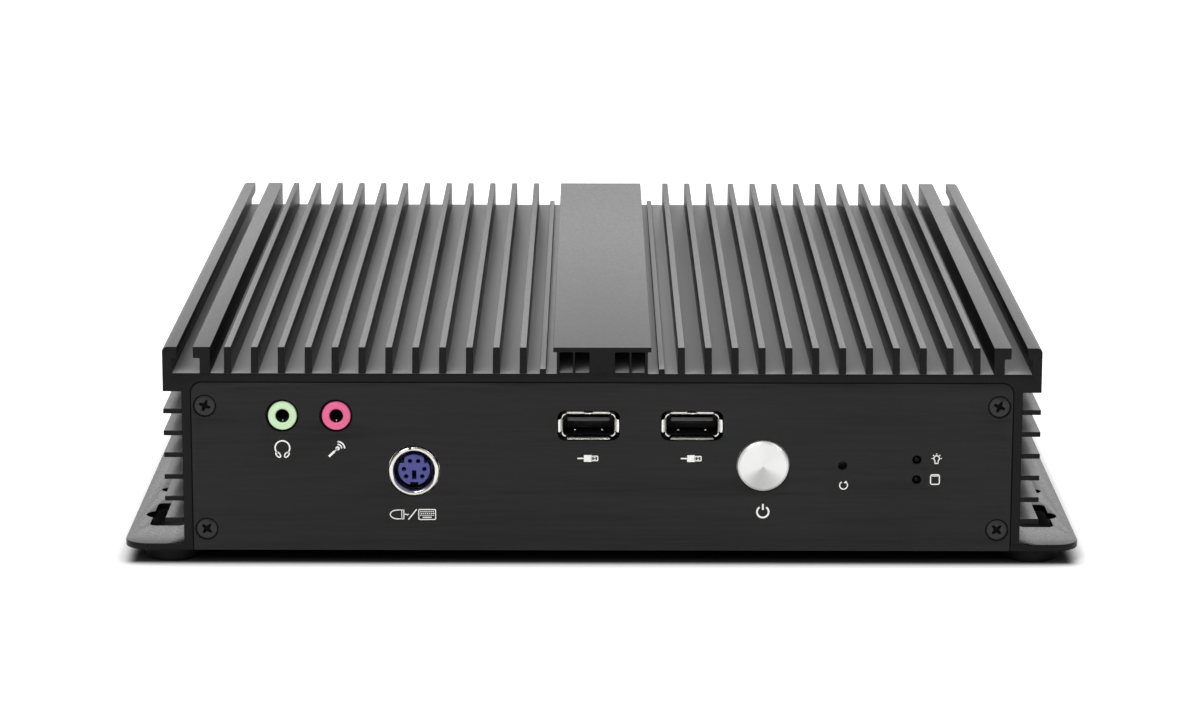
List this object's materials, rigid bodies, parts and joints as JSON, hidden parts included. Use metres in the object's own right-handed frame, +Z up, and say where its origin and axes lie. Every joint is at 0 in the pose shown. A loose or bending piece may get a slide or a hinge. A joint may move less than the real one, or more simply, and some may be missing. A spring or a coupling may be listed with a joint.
{
  "type": "fanless industrial computer",
  "caption": "Flat fanless computer with a finned black aluminium extrusion, flanged base plate, rubber feet, and a front panel with sockets, lamps and a round push button.",
  "frame": {"origin": "middle of the base plate in plan, on the level that the feet stand on", "axes": "+X to the right seen from the front, the front panel faces -Y, +Z up"},
  "size_m": [0.2344, 0.2314, 0.0545],
  "materials": {
    "anodised_extrusion": "fine blasted, black anodised",
    "anodised_panel": "satin black anodised, faint horizontal grain",
    "coated_plate": "fine black powder coat",
    "black_screw": "black oxide steel",
    "nickel_shield": "bright nickel-plated sheet",
    "spun_button": "spun face, bright bevel",
    "black_rubber": "matt",
    "black_plastic": "moulded",
    "mint_plastic": "moulded mint green",
    "pink_plastic": "moulded pink",
    "violet_plastic": "moulded violet",
    "clear_lamp": "clear moulded",
    "circuit_board": "green solder mask",
    "chip_plastic": "moulded black",
    "plain_aluminium": "milled",
    "thermal_pad": "soft grey pad",
    "yellow_wrap": "shrunk-on sleeve"
  },
  "bodies": {
    "computer": {"base_plate": "coated_plate", "base_plate_screws": "black_screw", "chipset": "chip_plastic", "clock_battery": "yellow_wrap", "control_board": "circuit_board", "control_header": "black_plastic", "dc_power_jack": "black_plastic", "dc_power_pin": "nickel_shield", "drive_led": "clear_lamp", "front_panel": "anodised_panel", "front_panel_screws": "black_screw", "front_usb_shell_left": "nickel_shield", "front_usb_shell_right": "nickel_shield", "front_usb_tongue_left": "black_plastic", "front_usb_tongue_right": "black_plastic", "headphone_jack": "mint_plastic", "heat_block": "plain_aluminium", "heatsink_chassis": "anodised_extrusion", "keyboard_port_insert": "violet_plastic", "keyboard_port_shell": "nickel_shield", "lan_jack_insert_left": "black_plastic", "lan_jack_insert_right": "black_plastic", "lan_jack_shell_left": "nickel_shield", "lan_jack_shell_right": "nickel_shield", "led_spacer": "black_plastic", "mainboard": "circuit_board", "memory_module": "circuit_board", "memory_socket": "black_plastic", "microphone_jack": "pink_plastic", "power_inductors": "chip_plastic", "power_led": "clear_lamp", "power_switch": "black_plastic", "processor": "plain_aluminium", "rear_panel": "anodised_panel", "rear_panel_screws": "black_screw", "rear_usb_shell_left": "nickel_shield", "rear_usb_shell_right": "nickel_shield", "rear_usb_tongue_left": "black_plastic", "rear_usb_tongue_right": "black_plastic", "reset_switch": "black_plastic", "rubber_feet": "black_rubber", "storage_latch": "black_plastic", "storage_module": "circuit_board", "storage_socket": "black_plastic", "thermal_pad": "thermal_pad", "video_port_insert": "black_plastic", "video_port_shell": "nickel_shield"},
    "power_button": {"power_button_cap": "spun_button", "power_switch_plunger": "black_plastic"},
    "reset_button": {"reset_switch_plunger": "black_plastic"}
  },
  "joints": [
    {"name": "power_button_press", "type": "slide", "parent": "computer", "child": "power_button", "axis": [0, 1, 0], "range_m": [0, 0.0015], "stiffness_N_per_m": 1500},
    {"name": "reset_button_press", "type": "slide", "parent": "computer", "child": "reset_button", "axis": [0, 1, 0], "range_m": [0, 0.00025], "stiffness_N_per_m": 3000}
  ]
}
